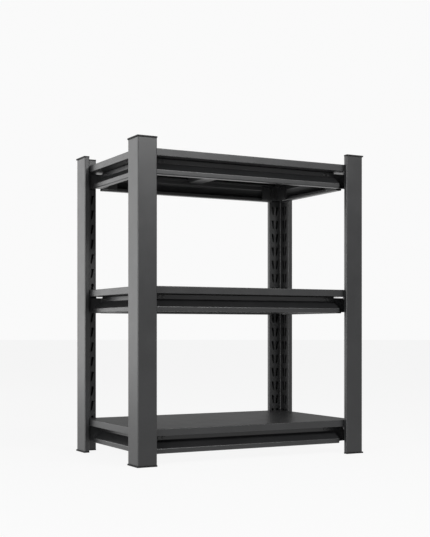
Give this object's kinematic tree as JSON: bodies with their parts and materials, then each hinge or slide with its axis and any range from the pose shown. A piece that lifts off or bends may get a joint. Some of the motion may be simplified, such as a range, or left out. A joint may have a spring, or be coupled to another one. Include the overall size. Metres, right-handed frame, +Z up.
{
  "type": "dumbbell rack",
  "caption": "Free-standing steel dumbbell rack with L-shaped corner posts and flat lift-off decks on bolt-free stepped beams.",
  "frame": {"origin": "on the floor, under the middle of the rack's footprint", "axes": "+X to the right seen from the front, +Y from front to back, +Z up"},
  "size_m": [0.624, 0.392, 0.753],
  "materials": {
    "black_steel": "semi-gloss charcoal powder coat",
    "black_plastic": "moulded matt black"
  },
  "bodies": {
    "frame": {"bottom_front_beam": "black_steel", "bottom_front_left_corner_bracket": "black_steel", "bottom_front_left_hook_bracket": "black_steel", "bottom_front_right_corner_bracket": "black_steel", "bottom_front_right_hook_bracket": "black_steel", "bottom_left_beam": "black_steel", "bottom_rear_beam": "black_steel", "bottom_rear_left_corner_bracket": "black_steel", "bottom_rear_left_hook_bracket": "black_steel", "bottom_rear_right_corner_bracket": "black_steel", "bottom_rear_right_hook_bracket": "black_steel", "bottom_right_beam": "black_steel", "bottom_rivets": "black_steel", "front_left_foot": "black_plastic", "front_left_post": "black_steel", "front_left_post_cap": "black_plastic", "front_right_foot": "black_plastic", "front_right_post": "black_steel", "front_right_post_cap": "black_plastic", "middle_front_beam": "black_steel", "middle_front_left_corner_bracket": "black_steel", "middle_front_left_hook_bracket": "black_steel", "middle_front_right_corner_bracket": "black_steel", "middle_front_right_hook_bracket": "black_steel", "middle_left_beam": "black_steel", "middle_rear_beam": "black_steel", "middle_rear_left_corner_bracket": "black_steel", "middle_rear_left_hook_bracket": "black_steel", "middle_rear_right_corner_bracket": "black_steel", "middle_rear_right_hook_bracket": "black_steel", "middle_right_beam": "black_steel", "middle_rivets": "black_steel", "rear_left_foot": "black_plastic", "rear_left_post": "black_steel", "rear_left_post_cap": "black_plastic", "rear_right_foot": "black_plastic", "rear_right_post": "black_steel", "rear_right_post_cap": "black_plastic", "top_front_beam": "black_steel", "top_front_left_corner_bracket": "black_steel", "top_front_left_hook_bracket": "black_steel", "top_front_right_corner_bracket": "black_steel", "top_front_right_hook_bracket": "black_steel", "top_left_beam": "black_steel", "top_rear_beam": "black_steel", "top_rear_left_corner_bracket": "black_steel", "top_rear_left_hook_bracket": "black_steel", "top_rear_right_corner_bracket": "black_steel", "top_rear_right_hook_bracket": "black_steel", "top_right_beam": "black_steel", "top_rivets": "black_steel"},
    "top_deck_tray": {"top_deck": "black_steel", "top_deck_rib": "black_steel", "top_deck_pegs": "black_steel"},
    "middle_deck_tray": {"middle_deck": "black_steel", "middle_deck_rib": "black_steel", "middle_deck_pegs": "black_steel"},
    "bottom_deck_tray": {"bottom_deck": "black_steel", "bottom_deck_rib": "black_steel", "bottom_deck_pegs": "black_steel"}
  },
  "joints": [
    {"name": "top_deck_lift", "type": "slide", "parent": "frame", "child": "top_deck_tray", "axis": [0, 0, 1], "range_m": [0, 0.12]},
    {"name": "middle_deck_lift", "type": "slide", "parent": "frame", "child": "middle_deck_tray", "axis": [0, 0, 1], "range_m": [0, 0.25]},
    {"name": "bottom_deck_lift", "type": "slide", "parent": "frame", "child": "bottom_deck_tray", "axis": [0, 0, 1], "range_m": [0, 0.265]}
  ]
}
